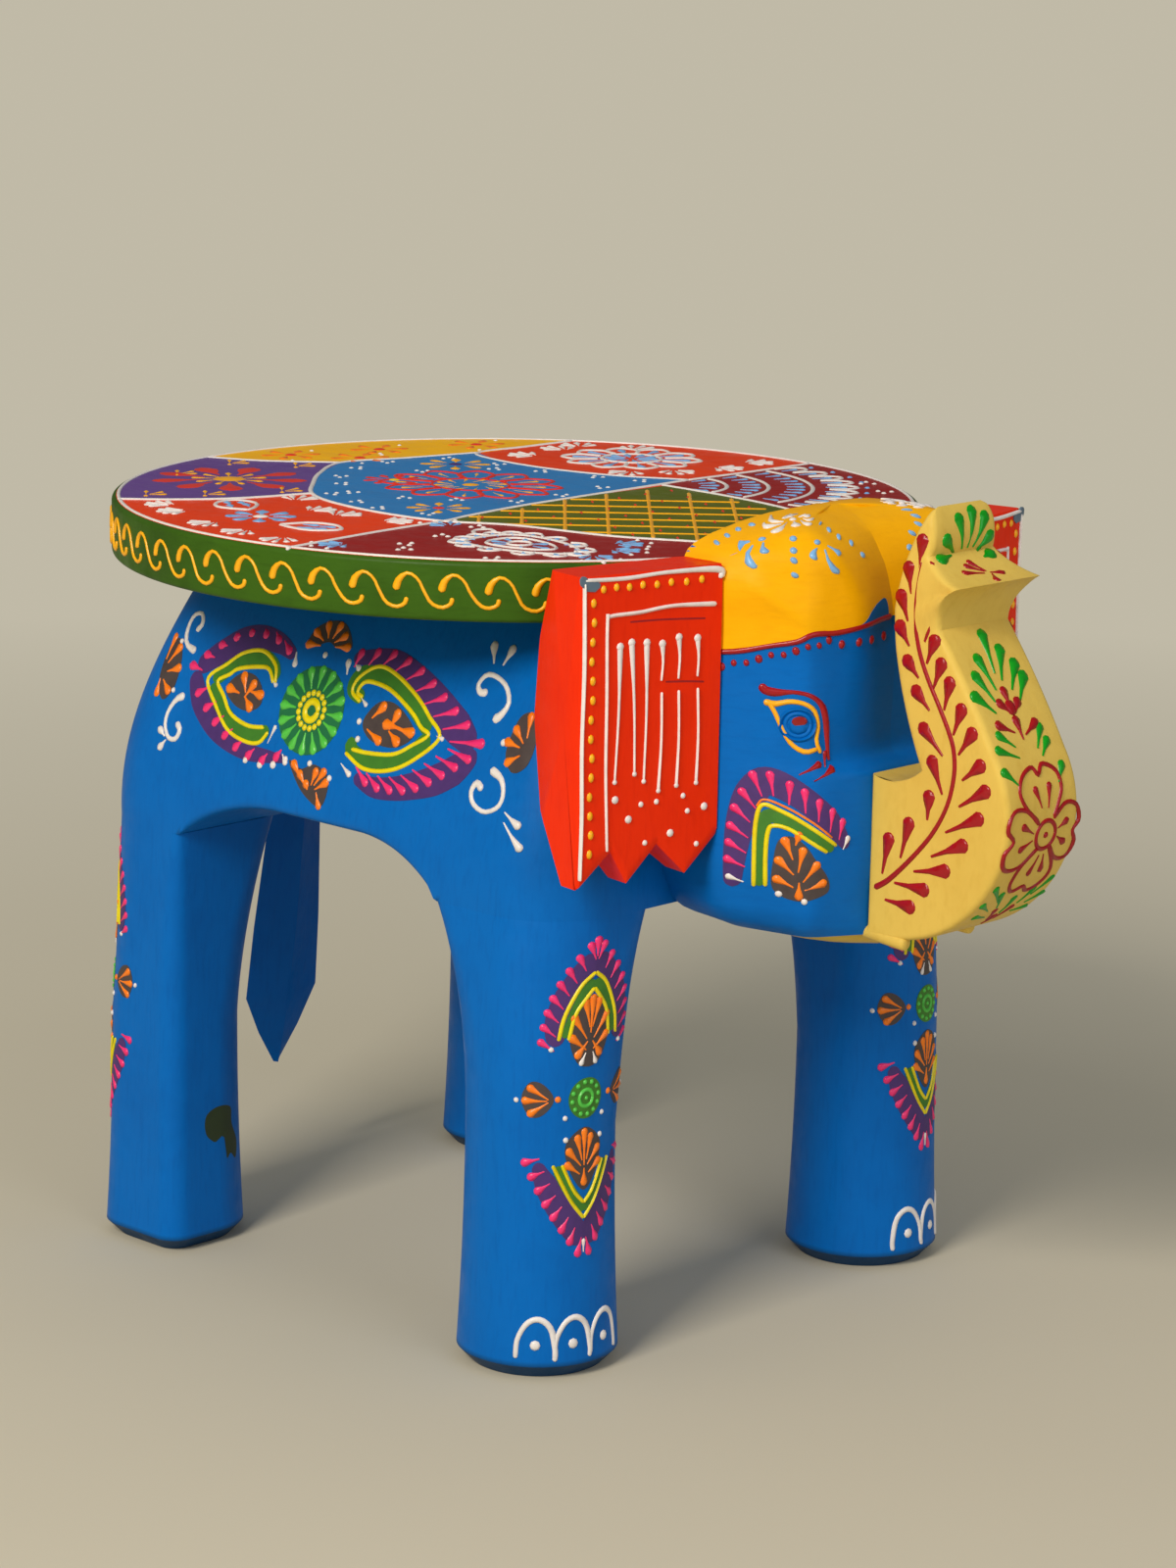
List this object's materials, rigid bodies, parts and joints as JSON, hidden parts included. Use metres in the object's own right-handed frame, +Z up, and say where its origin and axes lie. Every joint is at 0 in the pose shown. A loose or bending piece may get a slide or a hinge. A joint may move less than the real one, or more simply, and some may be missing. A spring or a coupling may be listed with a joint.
{
  "type": "elephant stool figurine",
  "caption": "Hand-painted carved wooden elephant with a raised trunk, carrying a round seat board on its back.",
  "frame": {"origin": "on the floor, under the middle of the object's bounding box", "axes": "+X forward to the trunk, +Y to the elephant's left, +Z up"},
  "size_m": [0.4088, 0.3048, 0.3146],
  "materials": {
    "seat_paint": "hand-painted, satin",
    "blue_paint": "hand-painted, satin",
    "head_paint": "hand-painted, satin",
    "cream_paint": "hand-painted, satin",
    "red_paint": "hand-painted, satin",
    "bare_wood": "planed, unfinished",
    "screw_steel": "zinc-plated"
  },
  "bodies": {
    "root": {"seat_board": "seat_paint", "body_block": "blue_paint", "head_block": "head_paint", "trunk": "cream_paint", "lower_lip": "cream_paint", "tusk_right": "cream_paint", "tusk_left": "cream_paint", "ear_right": "red_paint", "ear_left": "red_paint", "tail": "blue_paint", "leg_dowels": "bare_wood", "neck_dowels": "bare_wood", "trunk_dowels": "bare_wood", "ear_dowels": "bare_wood", "tail_dowel": "bare_wood", "seat_screws": "screw_steel", "screw_plugs": "bare_wood", "leg_front_right": "blue_paint", "leg_front_left": "blue_paint", "leg_rear_right": "blue_paint", "leg_rear_left": "blue_paint"}
  },
  "joints": []
}
